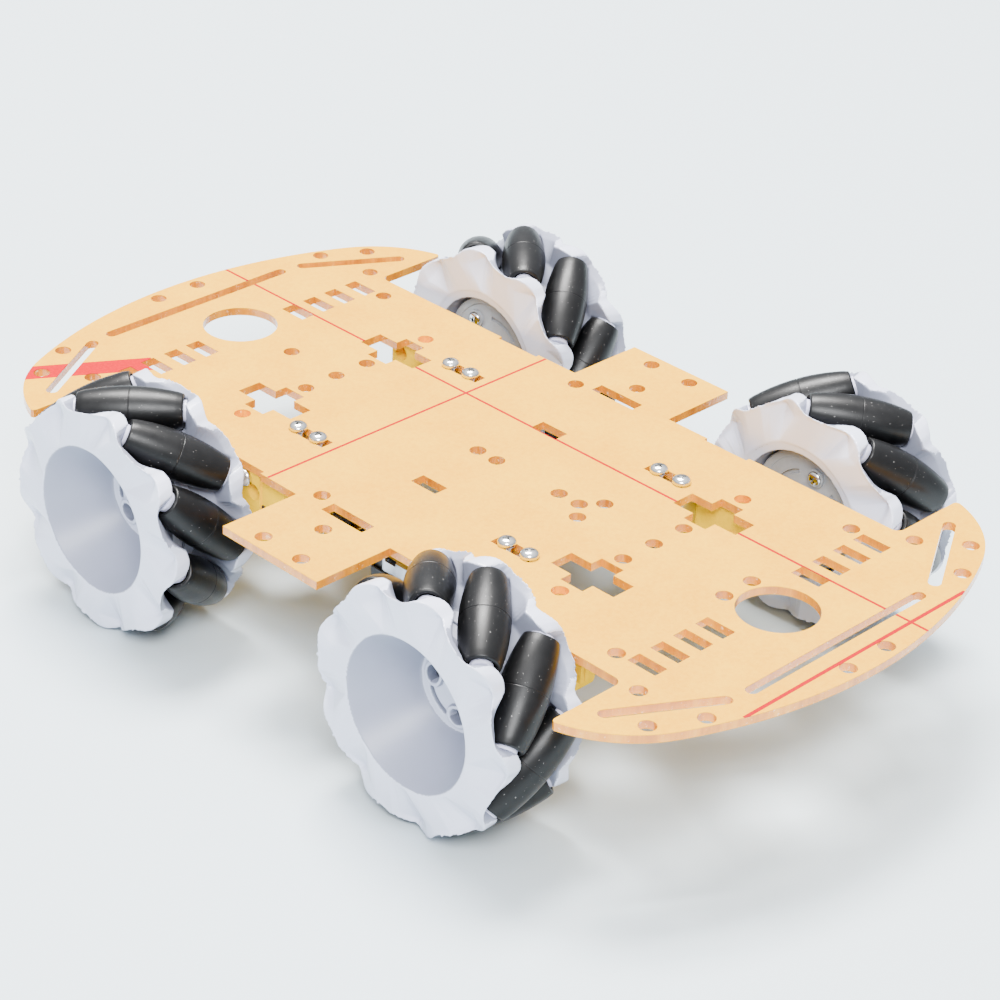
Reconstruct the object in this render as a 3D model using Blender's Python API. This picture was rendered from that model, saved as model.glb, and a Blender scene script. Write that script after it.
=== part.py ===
"""Four wheel mecanum robot chassis: deck, gearmotors, brackets, wheels and rollers.

Units in this file are millimetres until the last step, which scales to metres.
+X is forward, +Y is left, +Z is up, and the origin is on the floor under the
middle of the deck.
"""
import math

import bmesh
import bpy
from mathutils import Matrix, Vector

MM = 0.001

# Deck
DECK_RADIUS = 136.25
DECK_HALF_WIDTH = 78.15
DECK_BOTTOM = 45.9
DECK_TOP = 48.3
TAB_HALF = 18.2
CUT_INNER_Y = 52.97
NOTCH_Y = 51.7
NOTCH_X = (32.7, 48.0)
CUT_OUTER_X = 99.9
CUT_CORNER = 2.5
EAR_R = 36.0
EAR_START = 25.5
HOLE_R = 2.35
HUB_HOLE_R = 10.9
HUB_HOLE_X = 103.5

# Drive layout
AXLE_X = 61.4
AXLE_Z = 34.5
WHEEL_Y = 73.0

# Gearmotor
GEAR_OUTER_Y = 51.2
GEAR_INNER_Y = 32.4
GEAR_IN = 26.3
GEAR_OUT = 11.3
GEAR_HALF_HEIGHT = 11.1
NECK_END = 35.7
CAN_START = 30.0
CAN_END = 50.0
CAP_END = 53.7
CAN_R = 10.0
CAN_FLAT = 7.5
SCREW_IN = 20.8
SCREW_DZ = 8.75

# Wheel and rollers
WHEEL_R = 34.5
ROLLER_COUNT = 9
ROLLER_RC = 28.0
ROLLER_HALF = 14.4
PITCH = 360.0 / ROLLER_COUNT
GAP = 0.3
LUG_FRONT = 14.8
SIN45 = math.sqrt(0.5)
PHI_END = math.degrees(math.atan2(ROLLER_HALF * SIN45, ROLLER_RC))

# name, forward sign, left sign, roller handedness, angle of first roller
CORNERS = (
    ("rear_right", -1, -1, -1, 11.5),
    ("front_right", 1, -1, 1, 26.5),
    ("rear_left", -1, 1, 1, 6.5),
    ("front_left", 1, 1, -1, 36.5),
)


def clear_scene():
    for obj in list(bpy.data.objects):
        bpy.data.objects.remove(obj, do_unlink=True)


def material(name, colour, metallic, roughness):
    mat = bpy.data.materials.new(name)
    mat.use_nodes = True
    shader = mat.node_tree.nodes["Principled BSDF"]
    shader.inputs["Base Color"].default_value = (*colour, 1.0)
    shader.inputs["Metallic"].default_value = metallic
    shader.inputs["Roughness"].default_value = roughness
    return mat


def keep_main_body(bm):
    """Drop Boolean slivers that are not joined to the main body."""
    groups = []
    seen = set()
    for vert in bm.verts:
        if vert in seen:
            continue
        group = []
        stack = [vert]
        seen.add(vert)
        while stack:
            current = stack.pop()
            group.append(current)
            for edge in current.link_edges:
                other = edge.other_vert(current)
                if other not in seen:
                    seen.add(other)
                    stack.append(other)
        groups.append(group)
    groups.sort(key=len)
    for group in groups[:-1]:
        bmesh.ops.delete(bm, geom=group, context="VERTS")


def add_node(name, bm, mat, origin):
    """Turn a bmesh drawn in world millimetres into a named object."""
    keep_main_body(bm)
    bmesh.ops.remove_doubles(bm, verts=bm.verts, dist=0.0005)
    bmesh.ops.triangulate(bm, faces=bm.faces)
    bmesh.ops.recalc_face_normals(bm, faces=bm.faces)
    if bm.calc_volume(signed=True) < 0:
        bmesh.ops.reverse_faces(bm, faces=bm.faces)
    start = Vector(origin)
    bmesh.ops.translate(bm, verts=bm.verts, vec=-start)
    bmesh.ops.scale(bm, verts=bm.verts, vec=(MM, MM, MM))
    mesh = bpy.data.meshes.new(name)
    bm.to_mesh(mesh)
    bm.free()
    obj = bpy.data.objects.new(name, mesh)
    obj.location = start * MM
    mesh.materials.append(mat)
    bpy.context.scene.collection.objects.link(obj)
    return obj


def boolean(base, tool, operation):
    """Exact Boolean of two bmeshes, given back as a new bmesh."""
    objects = []
    for bm in (base, tool):
        bmesh.ops.recalc_face_normals(bm, faces=bm.faces)
        if bm.calc_volume(signed=True) < 0:
            bmesh.ops.reverse_faces(bm, faces=bm.faces)
        mesh = bpy.data.meshes.new("work")
        bm.to_mesh(mesh)
        bm.free()
        obj = bpy.data.objects.new("work", mesh)
        bpy.context.scene.collection.objects.link(obj)
        objects.append(obj)
    mod = objects[0].modifiers.new("cut", "BOOLEAN")
    mod.operation = operation
    mod.solver = "EXACT"
    mod.use_self = operation == "UNION"
    mod.object = objects[1]
    graph = bpy.context.evaluated_depsgraph_get()
    mesh = bpy.data.meshes.new_from_object(objects[0].evaluated_get(graph))
    result = bmesh.new()
    result.from_mesh(mesh)
    bpy.data.meshes.remove(mesh)
    for obj in objects:
        work = obj.data
        bpy.data.objects.remove(obj, do_unlink=True)
        bpy.data.meshes.remove(work)
    return result


def add_box(bm, low, high):
    centre = [(a + b) / 2 for a, b in zip(low, high)]
    size = [abs(b - a) for a, b in zip(low, high)]
    place = Matrix.Translation(centre) @ Matrix.Diagonal((*size, 1.0))
    bmesh.ops.create_cube(bm, size=1.0, matrix=place)


def add_cylinder(bm, start, end, radius, sides, radius_end=None):
    a = Vector(start)
    b = Vector(end)
    turn = (b - a).to_track_quat("Z", "Y").to_matrix().to_4x4()
    bmesh.ops.create_cone(
        bm, cap_ends=True, segments=sides, radius1=radius,
        radius2=radius if radius_end is None else radius_end,
        depth=(b - a).length, matrix=Matrix.Translation((a + b) / 2) @ turn)


def prism(points, z0, z1):
    """Closed prism from one outline of (x, y) points."""
    bm = bmesh.new()
    low = [bm.verts.new((x, y, z0)) for x, y in points]
    high = [bm.verts.new((x, y, z1)) for x, y in points]
    bm.faces.new(low)
    bm.faces.new(high)
    for i in range(len(points)):
        j = (i + 1) % len(points)
        bm.faces.new((low[i], low[j], high[j], high[i]))
    return bm


def arc(cx, cy, radius, start, end, steps):
    out = []
    for i in range(steps + 1):
        a = math.radians(start + (end - start) * i / steps)
        out.append((cx + radius * math.cos(a), cy + radius * math.sin(a)))
    return out


# ---------------------------------------------------------------- deck

def deck_outline():
    lean = math.radians(EAR_START)
    reach = DECK_RADIUS - EAR_R
    ear = (reach * math.cos(lean), reach * math.sin(lean))
    quarter = arc(0, 0, DECK_RADIUS, 0, EAR_START, 7)
    quarter += arc(*ear, EAR_R, EAR_START, 73, 5)[1:]
    quarter += [(CUT_OUTER_X + 0.3, 77.2), (CUT_OUTER_X, 76.4)]
    inner = (CUT_OUTER_X - CUT_CORNER, CUT_INNER_Y + CUT_CORNER)
    quarter += arc(*inner, CUT_CORNER, 0, -90, 3)
    quarter += [
        (NOTCH_X[1], CUT_INNER_Y), (NOTCH_X[1], NOTCH_Y),
        (NOTCH_X[0], NOTCH_Y), (NOTCH_X[0], CUT_INNER_Y),
        (TAB_HALF, CUT_INNER_Y), (TAB_HALF, DECK_HALF_WIDTH),
    ]
    top = quarter + [(-x, y) for x, y in reversed(quarter)]
    bottom = [(-x, -y) for x, y in top[1:-1]]
    return top + bottom


def rectangle(x0, x1, y0, y1):
    return [(x0, y0), (x1, y0), (x1, y1), (x0, y1)]


def cross(cx, cy):
    wide, thin, half = 10.95, 3.85, 7.65
    return [
        (cx - wide, cy - 3.8), (cx - thin, cy - 3.8), (cx - thin, cy - half),
        (cx + thin, cy - half), (cx + thin, cy - 3.8), (cx + wide, cy - 3.8),
        (cx + wide, cy + 3.8), (cx + thin, cy + 3.8), (cx + thin, cy + half),
        (cx - thin, cy + half), (cx - thin, cy + 3.8), (cx - wide, cy + 3.8),
    ]


def slot(p, q, width):
    """Round ended slot whose centre line runs from p to q."""
    angle = math.degrees(math.atan2(q[1] - p[1], q[0] - p[0]))
    r = width / 2
    inset = Vector((q[0] - p[0], q[1] - p[1])).normalized() * r
    a = (p[0] + inset.x, p[1] + inset.y)
    b = (q[0] - inset.x, q[1] - inset.y)
    return arc(*b, r, angle - 90, angle + 90, 4) + arc(*a, r, angle + 90, angle + 270, 4)


def deck_openings():
    loops = []
    both = (-1, 1)
    for sx in both:
        loops.append(arc(sx * HUB_HOLE_X, 0, HUB_HOLE_R, 0, 345, 23))
        loops.append(slot((sx * 122.9, -34.0), (sx * 122.9, 34.0), 3.5))
        for sy in both:
            for y0, y1 in ((40.9, 45.3), (32.6, 37.1), (24.2, 28.8), (16.0, 20.7)):
                loops.append(rectangle(*sorted((sx * 94.2, sx * 103.4)), *sorted((sy * y0, sy * y1))))
            loops.append(cross(sx * 61.4, sy * 23.2))
            loops.append(rectangle(*sorted((sx * 32.7, sx * 46.5)), *sorted((sy * 27.0, sy * 31.2))))
            loops.append(slot((sx * 105.5, sy * 67.7), (sx * 122.5, sy * 38.7), 3.5))
    loops.append(rectangle(-8.0, 7.7, 49.3, 53.5))
    loops.append(rectangle(-8.0, 7.7, -53.3, -48.8))
    for sy in both:
        loops.append(rectangle(-3.6, 5.7, *sorted((sy * 20.6, sy * 25.2))))
    for x, y in deck_hole_centres():
        loops.append(arc(x, y, HOLE_R, 0, 330, 11))
    return loops


def deck_hole_centres():
    four = ((105.1, 53.0), (116.5, 62.2), (123.6, 49.3), (132.2, 7.4),
            (61.3, 11.6), (61.4, 34.9), (7.3, 73.7))
    out = [(sx * x, sy * y) for x, y in four for sx in (-1, 1) for sy in (-1, 1)]
    out += [(sx * 90.4, sy * 45.0) for sx in (-1, 1) for sy in (-1, 1)]
    out += [(sx * 61.4, 0.0) for sx in (-1, 1)]
    out += [(0.0, sy * 59.7) for sy in (-1, 1)]
    out += [(-13.3, sy * 48.3) for sy in (-1, 1)]
    out += [(90.3, sy * 5.3) for sy in (-1, 1)]
    out += [(38.9, sy * 5.2) for sy in (-1, 1)]
    out += [(-80.7, 0.0), (-3.8, 0.0), (3.5, 0.0), (27.1, 0.0), (34.5, 0.0)]
    return out


def build_deck(mat):
    bm = bmesh.new()
    edges = []
    for loop in [deck_outline()] + deck_openings():
        verts = [bm.verts.new((x, y, DECK_BOTTOM)) for x, y in loop]
        for i, vert in enumerate(verts):
            edges.append(bm.edges.new((vert, verts[(i + 1) % len(verts)])))
    bmesh.ops.triangle_fill(bm, use_beauty=True, use_dissolve=False, edges=edges)
    grown = bmesh.ops.extrude_face_region(bm, geom=bm.faces[:])
    verts = [g for g in grown["geom"] if isinstance(g, bmesh.types.BMVert)]
    bmesh.ops.translate(bm, verts=verts, vec=(0, 0, DECK_TOP - DECK_BOTTOM))
    add_node("chassis_plate", bm, mat, (0, 0, DECK_BOTTOM))


# ---------------------------------------------------------- gearmotors

def gear_profile():
    """Side view of the gearbox: first value outward from the axle, second up."""
    top = GEAR_HALF_HEIGHT
    points = [(-GEAR_IN, -top), (-GEAR_IN, top)]
    points += arc(GEAR_OUT - 4.0, top - 4.0, 4.0, 90, 0, 3)
    points += arc(GEAR_OUT - 4.0, -top + 4.0, 4.0, 0, -90, 3)
    return points


def build_gearbox(name, sx, sy, mat):
    mid_y = sy * (GEAR_OUTER_Y + GEAR_INNER_Y) / 2
    ax = sx * AXLE_X
    side_view = prism(gear_profile(), -9.4, 9.4)
    turn = Matrix(((sx, 0, 0, ax), (0, 0, 1, mid_y), (0, 1, 0, AXLE_Z), (0, 0, 0, 1)))
    bmesh.ops.transform(side_view, matrix=turn, verts=side_view.verts)
    neck = bmesh.new()
    add_box(neck, (ax - sx * NECK_END, mid_y - 8.9, AXLE_Z - 10.4),
            (ax - sx * (GEAR_IN - 1.0), mid_y + 8.9, AXLE_Z + 10.4))
    body = boolean(side_view, neck, "UNION")
    tab = bmesh.new()
    add_box(tab, (ax + sx * (GEAR_OUT - 1.0), mid_y - 1.5, AXLE_Z - 2.7),
            (ax + sx * (GEAR_OUT + 5.0), mid_y + 1.5, AXLE_Z + 2.7))
    body = boolean(body, tab, "UNION")
    holes = bmesh.new()
    for dz in (-SCREW_DZ, SCREW_DZ):
        x = ax - sx * SCREW_IN
        add_cylinder(holes, (x, mid_y - 12, AXLE_Z + dz), (x, mid_y + 12, AXLE_Z + dz), 1.8, 10)
    body = boolean(body, holes, "DIFFERENCE")
    bore = bmesh.new()
    add_cylinder(bore, (ax, sy * 41.4, AXLE_Z), (ax, sy * 54.0, AXLE_Z), 3.05, 16)
    body = boolean(body, bore, "DIFFERENCE")
    socket = bmesh.new()
    add_cylinder(socket, (ax - sx * 29.6, mid_y, AXLE_Z), (ax - sx * 40.0, mid_y, AXLE_Z),
                 CAN_R + 0.3, 24)
    trim = bmesh.new()
    add_box(trim, (ax - sx * 29.0, mid_y - 7.8, AXLE_Z - 12), (ax - sx * 41.0, mid_y + 7.8, AXLE_Z + 12))
    socket = boolean(socket, trim, "INTERSECT")
    body = boolean(body, socket, "DIFFERENCE")
    add_node("gearbox_" + name, body, mat, (ax, mid_y, AXLE_Z))


def build_motor(name, sx, sy, mat):
    mid_y = sy * (GEAR_OUTER_Y + GEAR_INNER_Y) / 2
    ax = sx * AXLE_X
    can = bmesh.new()
    add_cylinder(can, (ax - sx * CAN_START, mid_y, AXLE_Z), (ax - sx * CAN_END, mid_y, AXLE_Z), CAN_R, 24)
    trim = bmesh.new()
    add_box(trim, (ax - sx * 20, mid_y - CAN_FLAT, AXLE_Z - 12), (ax - sx * 60, mid_y + CAN_FLAT, AXLE_Z + 12))
    can = boolean(can, trim, "INTERSECT")
    cap = bmesh.new()
    add_cylinder(cap, (ax - sx * (CAN_END - 1), mid_y, AXLE_Z), (ax - sx * CAP_END, mid_y, AXLE_Z), 9.2, 20)
    trim = bmesh.new()
    add_box(trim, (ax - sx * 20, mid_y - 6.9, AXLE_Z - 12), (ax - sx * 60, mid_y + 6.9, AXLE_Z + 12))
    cap = boolean(cap, trim, "INTERSECT")
    can = boolean(can, cap, "UNION")
    add_node("motor_" + name, can, mat, (ax - sx * CAN_START, mid_y, AXLE_Z))


def build_bracket(name, sx, sy, mat):
    """Bracket block with its two long through screws and two deck screws."""
    x = sx * (AXLE_X - SCREW_IN)
    block = bmesh.new()
    add_box(block, (x - 7.5, sy * 25.9, AXLE_Z - 11.1), (x + 7.5, sy * 32.1, DECK_BOTTOM))
    screws = bmesh.new()
    for dz in (-SCREW_DZ, SCREW_DZ):
        z = AXLE_Z + dz
        add_cylinder(screws, (x, sy * 29.0, z), (x, sy * (GEAR_OUTER_Y + 1.0), z), 1.5, 8)
    body = boolean(block, screws, "UNION")
    heads = bmesh.new()
    for dz in (-SCREW_DZ, SCREW_DZ):
        z = AXLE_Z + dz
        add_cylinder(heads, (x, sy * GEAR_OUTER_Y, z), (x, sy * (GEAR_OUTER_Y + 2.2), z), 2.6, 12, 2.1)
    body = boolean(body, heads, "UNION")
    posts = bmesh.new()
    for dx in (-4.1, 4.1):
        add_cylinder(posts, (x + dx, sy * 29.0, DECK_BOTTOM - 4), (x + dx, sy * 29.0, DECK_TOP + 1), 1.5, 8)
    body = boolean(body, posts, "UNION")
    caps = bmesh.new()
    for dx in (-4.1, 4.1):
        add_cylinder(caps, (x + dx, sy * 29.0, DECK_TOP), (x + dx, sy * 29.0, DECK_TOP + 2.1), 2.6, 12, 1.9)
    body = boolean(body, caps, "UNION")
    add_node("bracket_" + name, body, mat, (x, sy * 29.0, DECK_BOTTOM))


# -------------------------------------------------------------- wheels

def wheel_point(corner, angle, radius, y):
    """Point at an angle and radius round the axle, at world y."""
    name, sx, sy, hand, phase = corner
    a = math.radians(angle)
    return Vector((sx * AXLE_X + radius * math.cos(a), y, AXLE_Z + radius * math.sin(a)))


def roller_frame(corner, index):
    """Centre and unit axis of one roller; the axis points to +Y."""
    name, sx, sy, hand, phase = corner
    angle = phase + PITCH * index
    a = math.radians(angle)
    centre = wheel_point(corner, angle, ROLLER_RC, sy * WHEEL_Y)
    tangent = Vector((-math.sin(a), 0.0, math.cos(a)))
    axis = hand * SIN45 * tangent + SIN45 * Vector((0, 1, 0))
    return centre, axis


def barrel_radius(s):
    return WHEEL_R - math.sqrt(ROLLER_RC ** 2 + s * s / 2)


def lathe(centre, axis, profile, sides):
    """Rings of (along, radius) points round an axis; a flat side looks off the axle."""
    axle = Vector((centre.x, 0.0, centre.z)) - Vector((math.copysign(AXLE_X, centre.x), 0.0, AXLE_Z))
    radial = axle.normalized()
    across = axis.cross(radial)
    bm = bmesh.new()
    rings = []
    for along, radius in profile:
        ring = []
        for i in range(sides):
            a = 2 * math.pi * (i + 0.5) / sides
            offset = radial * math.cos(a) + across * math.sin(a)
            ring.append(bm.verts.new(centre + axis * along + offset * radius))
        rings.append(ring)
    return bm, rings


def join_rings(bm, first, second):
    count = len(first)
    for i in range(count):
        j = (i + 1) % count
        bm.faces.new((first[i], first[j], second[j], second[i]))


def build_roller(name, corner, index, mat):
    centre, axis = roller_frame(corner, index)
    half = ROLLER_HALF
    profile = [(-half, 1.4), (-half, barrel_radius(half)), (-8.0, barrel_radius(8.0)),
               (0.0, barrel_radius(0.0)), (8.0, barrel_radius(8.0)),
               (half, barrel_radius(half)), (half, 1.4)]
    bm, rings = lathe(centre, axis, profile, 10)
    for i, ring in enumerate(rings):
        join_rings(bm, ring, rings[(i + 1) % len(rings)])
    add_node("roller_%s_%d" % (name, index + 1), bm, mat, centre)


def zip_rings(bm, first, second):
    """Triangles between two rings given as (angle, vertex), any counts."""
    i, j = 0, 0
    n, m = len(first), len(second)
    while i < n or j < m:
        a = first[i % n][0] + 360.0 * (i // n)
        b = second[j % m][0] + 360.0 * (j // m)
        next_a = first[(i + 1) % n][0] + 360.0 * ((i + 1) // n)
        next_b = second[(j + 1) % m][0] + 360.0 * ((j + 1) // m)
        corner_a = first[i % n][1]
        corner_b = second[j % m][1]
        if j >= m or (i < n and next_a <= next_b):
            bm.faces.new((corner_a, first[(i + 1) % n][1], corner_b))
            i += 1
        else:
            bm.faces.new((corner_a, second[(j + 1) % m][1], corner_b))
            j += 1


def lug_front_height(psi, radius):
    """Height of the face that a roller end runs against."""
    return radius * math.sin(math.radians(psi - PHI_END)) + LUG_FRONT / SIN45


# One tooth of the crown. Each entry is (psi, radius, height above mid plane).
RIM_CORNER = (-15.0, 21.4, 15.0)
TIP = (-11.0, 32.3, 12.4)
HUMP = (-2.0, 33.4, 13.8)
CREST = (6.0, 32.0, 15.2)
RISE = (17.0, 31.8, 14.9)


def crown_rings():
    """Rings of (psi, radius, height) for one tooth, from rim to joint face."""
    edge = [TIP, HUMP, CREST, RISE]
    under = [(-15.0, 31.6, 10.0), (-12.0, 32.2, 7.6), (-8.5, 32.8, 6.2),
             (-2.0, 33.0, 9.0), (3.0, 31.0, 12.2), (13.0, 30.2, 12.5)]
    root = [(-13.0, 24.4, 8.0), (-8.0, 24.4, 5.6), (4.0, 24.0, 9.6), (14.0, 24.4, 9.6)]
    core = [(-10.0, 20.9, 4.0), (10.0, 20.9, 4.0)]
    joint = [(-10.0, 20.9, 0.15), (10.0, 20.9, 0.15)]
    return [[RIM_CORNER], edge, under, root, core, joint]


def plain_ring(radius, height, count_per_tooth=2):
    step = PITCH / count_per_tooth
    return [(-15.0 + step * (i + 0.5), radius, height) for i in range(count_per_tooth)]


def hub_mesh(corner, face, rings, cap_first, cap_last):
    """Build a hub half. face is the world y sign its crown looks along."""
    name, sx, sy, hand, phase = corner
    bm = bmesh.new()
    built = []
    for tooth in rings:
        ring = []
        for k in range(ROLLER_COUNT):
            for psi, radius, height in tooth:
                local = psi + PITCH * k
                angle = phase + hand * face * (PHI_END - local)
                y = sy * WHEEL_Y + face * height
                ring.append((local, bm.verts.new(wheel_point(corner, angle, radius, y))))
        built.append(ring)
    for first, second in zip(built, built[1:]):
        zip_rings(bm, first, second)
    if cap_first:
        bm.faces.new([v for a, v in built[0]])
    if cap_last:
        bm.faces.new([v for a, v in built[-1]])
    return bm


def roller_pockets(corner, face):
    """Short barrels that leave running room for the roller ends of one half."""
    tool = bmesh.new()
    for k in range(ROLLER_COUNT):
        centre, axis = roller_frame(corner, k)
        outward = axis * face
        profile = []
        for s in (-1.5, 5.0, 10.0, LUG_FRONT):
            profile.append((s, barrel_radius(s) + 0.45))
        part, rings = lathe(centre, outward, profile, 12)
        for first, second in zip(rings, rings[1:]):
            join_rings(part, first, second)
        part.faces.new(rings[0])
        part.faces.new(rings[-1])
        mesh = bpy.data.meshes.new("pocket")
        part.to_mesh(mesh)
        part.free()
        tool.from_mesh(mesh)
        bpy.data.meshes.remove(mesh)
    return tool


def build_hub_outer(name, corner, mat):
    face = corner[2]
    rings = [plain_ring(11.6, -1.7), plain_ring(20.0, 15.0, 3)] + crown_rings()
    rings += [plain_ring(13.8, 0.15), plain_ring(13.6, -4.2)]
    bm = hub_mesh(corner, face, rings, True, True)
    bm = boolean(bm, roller_pockets(corner, face), "DIFFERENCE")
    pins = bmesh.new()
    for k in range(ROLLER_COUNT):
        centre, axis = roller_frame(corner, k)
        out = axis * face
        add_cylinder(pins, centre + out * (LUG_FRONT - 1), centre + out * (LUG_FRONT + 1.6), 1.3, 8)
    bm = boolean(bm, pins, "DIFFERENCE")
    holes = bmesh.new()
    for angle in (35.0, 135.0, 235.0, 325.0):
        y0 = corner[2] * (WHEEL_Y - 8.0)
        y1 = corner[2] * (WHEEL_Y + 2.0)
        add_cylinder(holes, wheel_point(corner, angle, 7.0, y0), wheel_point(corner, angle, 7.0, y1), 1.6, 8)
    bm = boolean(bm, holes, "DIFFERENCE")
    add_node("hub_outer_" + name, bm, mat, (corner[1] * AXLE_X, corner[2] * WHEEL_Y, AXLE_Z))


def shaft_ring(height):
    """Double flat output shaft, 5.4 mm across the rounds and 3.7 across the flats."""
    out = []
    for i in range(18):
        psi = -15.0 + 20.0 * (i + 0.5)
        a = math.radians(psi)
        flat = 1.85 / max(abs(math.sin(a)), 1e-6)
        out.append((psi, min(2.7, flat), height))
    return out


def build_hub_inner(name, corner, mat):
    face = -corner[2]
    rings = [plain_ring(17.6, 10.5), plain_ring(18.8, 15.0, 3)] + crown_rings()
    rings += [plain_ring(14.3, 0.15), plain_ring(14.3, 7.5)]
    bm = hub_mesh(corner, face, rings, True, True)
    bm = boolean(bm, roller_pockets(corner, face), "DIFFERENCE")
    shaft = bmesh.new()
    ends = (4.6, WHEEL_Y - 41.8)
    loops = []
    for height in ends:
        loop = []
        for psi, radius, h in shaft_ring(height):
            loop.append(shaft.verts.new(wheel_point(corner, psi, radius, corner[2] * WHEEL_Y + face * h)))
        loops.append(loop)
    join_rings(shaft, loops[0], loops[1])
    shaft.faces.new(loops[0])
    shaft.faces.new(loops[1])
    bm = boolean(bm, shaft, "UNION")
    pins = bmesh.new()
    for k in range(ROLLER_COUNT):
        centre, axis = roller_frame(corner, k)
        out = axis * face
        add_cylinder(pins, centre - out * (LUG_FRONT + 1.2), centre + out * (LUG_FRONT + 1.6), 1.0, 8)
    bm = boolean(bm, pins, "UNION")
    add_node("hub_inner_" + name, bm, mat, (corner[1] * AXLE_X, corner[2] * WHEEL_Y, AXLE_Z))


def main():
    clear_scene()
    board = material("laminate", (0.86, 0.70, 0.42), 0.0, 0.6)
    yellow = material("yellow_plastic", (0.75, 0.62, 0.04), 0.0, 0.4)
    steel = material("motor_steel", (0.55, 0.56, 0.58), 1.0, 0.35)
    alloy = material("aluminium", (0.75, 0.76, 0.78), 1.0, 0.4)
    hub = material("hub_plastic", (0.66, 0.69, 0.72), 0.0, 0.35)
    rubber = material("roller_rubber", (0.045, 0.045, 0.048), 0.0, 0.6)
    build_deck(board)
    for corner in CORNERS:
        name, sx, sy, hand, phase = corner
        build_gearbox(name, sx, sy, yellow)
        build_motor(name, sx, sy, steel)
        build_bracket(name, sx, sy, alloy)
        build_hub_outer(name, corner, hub)
        build_hub_inner(name, corner, hub)
        for index in range(ROLLER_COUNT):
            build_roller(name, corner, index, rubber)


main()
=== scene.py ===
"""Looks of the mecanum robot chassis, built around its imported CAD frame.

Lengths are in millimetres in the builders and are scaled to metres once, in
make_object. Wheel parts are drawn in a wheel frame: z runs outward from the
wheel's mid plane and angles run round it from the middle of one roller lug.
"""
import math

import bmesh
import bpy
from mathutils import Matrix, Vector


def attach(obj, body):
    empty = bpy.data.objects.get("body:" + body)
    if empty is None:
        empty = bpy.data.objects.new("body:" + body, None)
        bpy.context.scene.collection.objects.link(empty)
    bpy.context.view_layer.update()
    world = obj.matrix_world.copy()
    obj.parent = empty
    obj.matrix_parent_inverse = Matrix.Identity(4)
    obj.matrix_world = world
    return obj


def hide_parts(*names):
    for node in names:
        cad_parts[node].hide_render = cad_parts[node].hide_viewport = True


MM = 0.001
SIN45 = math.sqrt(0.5)

# Deck
DECK_RADIUS = 136.25
DECK_HALF_WIDTH = 78.15
DECK_BOTTOM = 45.9
DECK_TOP = 48.3
PAPER = 0.12
TAB_HALF = 18.2
CUT_INNER_Y = 52.97
NOTCH_Y = 51.7
NOTCH_X = (32.7, 48.0)
CUT_OUTER_X = 99.9
CUT_CORNER = 2.5
EAR_R = 36.0
EAR_START = 25.5
HOLE_R = 2.35
HUB_HOLE_R = 10.9
HUB_HOLE_X = 103.5
SLOT_WIDTH = 3.5
GUIDE_LINE = 0.85

# Drive layout
AXLE_X = 61.4
AXLE_Z = 34.5
WHEEL_Y = 73.0
GEAR_OUTER_Y = 51.2
GEAR_MID_Y = 41.8
SCREW_IN = 20.8
SCREW_DZ = 8.75
CASE_HALF = 9.4
SHELL_GAP = 0.06
CAN_FLAT = 7.5
CAP_FLAT = 6.9
DECK_SCREW_Y = 29.0
# Head radius, head height and shank radius of the M3 screws
M3_HEAD = (2.6, 2.1, 1.45)
# x outward from the axle and z of the small case screws, inner pair then outer pair
CASE_SCREWS = (((-23.8, -5.2), (-23.8, 5.2)), ((7.6, -7.2), (7.6, 7.2)))
CASE_SCREW_SINK = 3.15
HEAD_LIFT = 0.02

# Wheel
WHEEL_R = 34.5
ROLLER_RC = 28.0
ROLLER_HALF = 14.3
ROLLER_COUNT = 9
PITCH = 360.0 / ROLLER_COUNT
LUG_FRONT = 14.8
# Angle round the wheel from the middle of a roller to its end
PHI_END = math.degrees(math.atan2(14.4 * SIN45, ROLLER_RC))
# Ring steps of a hub half in one tooth
STEPS = 20
EYELETS = 3
EYELET_TURN = 360.0 / EYELETS
WEB_EYELET_R = 7.0
DISC_EYELET_R = 11.4
DISC_EYELET_ANGLE = 20.0
# Radii inside which the cup wall and the body take the painted shade, a darker copy of the hub
# plastic
CUP_R = 21.3
BODY_R = 33.0
# Remesh size of the mouldings
VOXEL = 0.32

# name, forward sign, left sign, roller handedness, angle of first roller
CORNERS = (
    ("rear_right", -1, -1, -1, 11.5),
    ("front_right", 1, -1, 1, 26.5),
    ("rear_left", -1, 1, 1, 6.5),
    ("front_left", 1, 1, -1, 36.5),
)

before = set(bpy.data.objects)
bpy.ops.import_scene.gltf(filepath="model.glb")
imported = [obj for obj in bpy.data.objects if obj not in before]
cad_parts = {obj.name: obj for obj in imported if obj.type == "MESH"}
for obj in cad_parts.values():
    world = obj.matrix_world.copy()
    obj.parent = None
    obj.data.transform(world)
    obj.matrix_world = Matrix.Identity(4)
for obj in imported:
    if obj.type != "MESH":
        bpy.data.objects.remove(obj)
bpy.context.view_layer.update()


# ------------------------------------------------------------ materials

def srgb(r, g, b):
    """Scene-linear colour of a display colour out of 255."""
    out = []
    for value in (r, g, b):
        c = value / 255.0
        out.append(c / 12.92 if c <= 0.04045 else ((c + 0.055) / 1.055) ** 2.4)
    return tuple(out) + (1.0,)


def flat(r, g, b):
    """Scene-linear colour."""
    return (r, g, b, 1.0)


def new_material(name, colour, roughness, metallic=0.0, ior=1.5, coat=0.0,
                 coat_roughness=0.1):
    mat = bpy.data.materials.new(name)
    mat.use_nodes = True
    shader = mat.node_tree.nodes["Principled BSDF"]
    shader.inputs["Base Color"].default_value = colour
    shader.inputs["Roughness"].default_value = roughness
    shader.inputs["Metallic"].default_value = metallic
    shader.inputs["IOR"].default_value = ior
    shader.inputs["Coat Weight"].default_value = coat
    shader.inputs["Coat Roughness"].default_value = coat_roughness
    mat.diffuse_color = colour
    return mat


def node(mat, kind, **settings):
    made = mat.node_tree.nodes.new(kind)
    for key, value in settings.items():
        setattr(made, key, value)
    return made


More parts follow.
